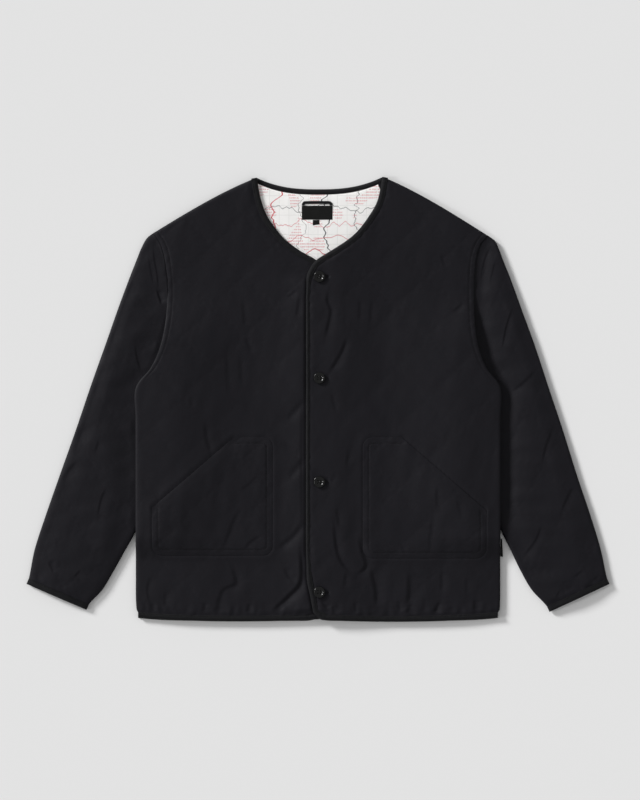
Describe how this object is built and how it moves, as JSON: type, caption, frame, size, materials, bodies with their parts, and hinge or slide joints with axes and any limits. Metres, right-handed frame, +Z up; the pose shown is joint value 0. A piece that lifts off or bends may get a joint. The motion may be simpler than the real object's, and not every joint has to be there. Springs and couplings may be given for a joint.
{
  "type": "quilted jacket",
  "caption": "Collarless quilted liner jacket laid flat, buttoned, with bound edges, slant-topped patch pockets and a printed lining at the neck.",
  "frame": {"origin": "on the surface that the jacket lies on, under the middle of the laid-out jacket", "axes": "+X towards the wearer's left, +Y from hem to neck, +Z up from the surface, out of the jacket's front"},
  "size_m": [0.9312, 0.7111, 0.0178],
  "materials": {
    "shell": "matt black quilted ripstop-weight nylon with a soft sheen",
    "binding": "black grosgrain bias binding",
    "lining": null,
    "buttons": "glossy black four-hole buttons",
    "labels": "bare black woven labels"
  },
  "bodies": {
    "root": {"back": "shell", "front_left": "shell", "front_right": "shell", "sleeve_left": "shell", "sleeve_right": "shell", "pocket_left": "shell", "pocket_right": "shell", "lining": "lining", "binding_neck_back": "binding", "binding_front_left": "binding", "binding_front_right": "binding", "binding_hem_left": "binding", "binding_hem_right": "binding", "binding_hem_back": "binding", "binding_cuff_left": "binding", "binding_cuff_right": "binding", "button_1": "buttons", "button_2": "buttons", "button_3": "buttons", "button_4": "buttons", "neck_label": "labels", "size_tab": "labels", "side_label": "labels", "hanger_loop": "binding"}
  },
  "joints": []
}
